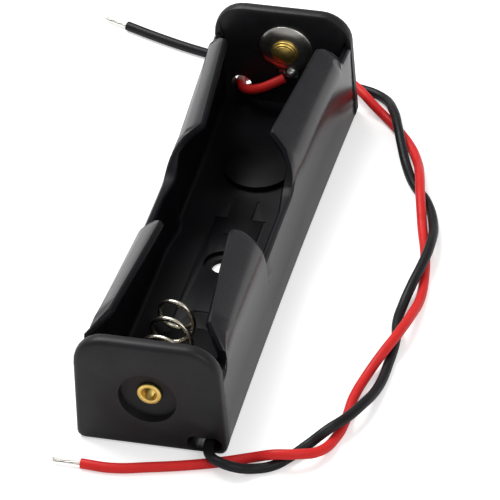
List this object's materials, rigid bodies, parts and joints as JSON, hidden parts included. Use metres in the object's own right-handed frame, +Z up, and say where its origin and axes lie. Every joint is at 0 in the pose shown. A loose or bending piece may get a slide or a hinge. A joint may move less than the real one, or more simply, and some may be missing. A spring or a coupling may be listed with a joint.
{
  "type": "cylindrical cell holder",
  "caption": "Open tray that grips one cylindrical cell between a conical spring and a riveted button contact, with two free leads.",
  "frame": {"origin": "middle of the tray's underside", "axes": "+Y from the spring end to the button end, +Z up out of the tray, +X across"},
  "size_m": [0.0608, 0.0978, 0.0174],
  "materials": {
    "black_plastic": "moulded, glossy sides and satin end plates",
    "plated_wire": "drawn wire, nickel plated",
    "plated_sheet": "pressed sheet, nickel plated",
    "brass": "bright pressed brass",
    "solder": "bright solder",
    "black_insulation": "satin soft vinyl",
    "red_insulation": "satin soft vinyl",
    "tinned_copper": "bright tinned strands"
  },
  "bodies": {
    "root": {"holder_body": "black_plastic", "negative_spring": "plated_wire", "negative_eyelet": "brass", "negative_tag": "plated_sheet", "negative_solder": "solder", "positive_rivet": "brass", "positive_tag": "plated_sheet", "positive_solder": "solder", "black_lead": "black_insulation", "black_strands": "tinned_copper", "red_lead": "red_insulation", "red_strands": "tinned_copper"}
  },
  "joints": []
}
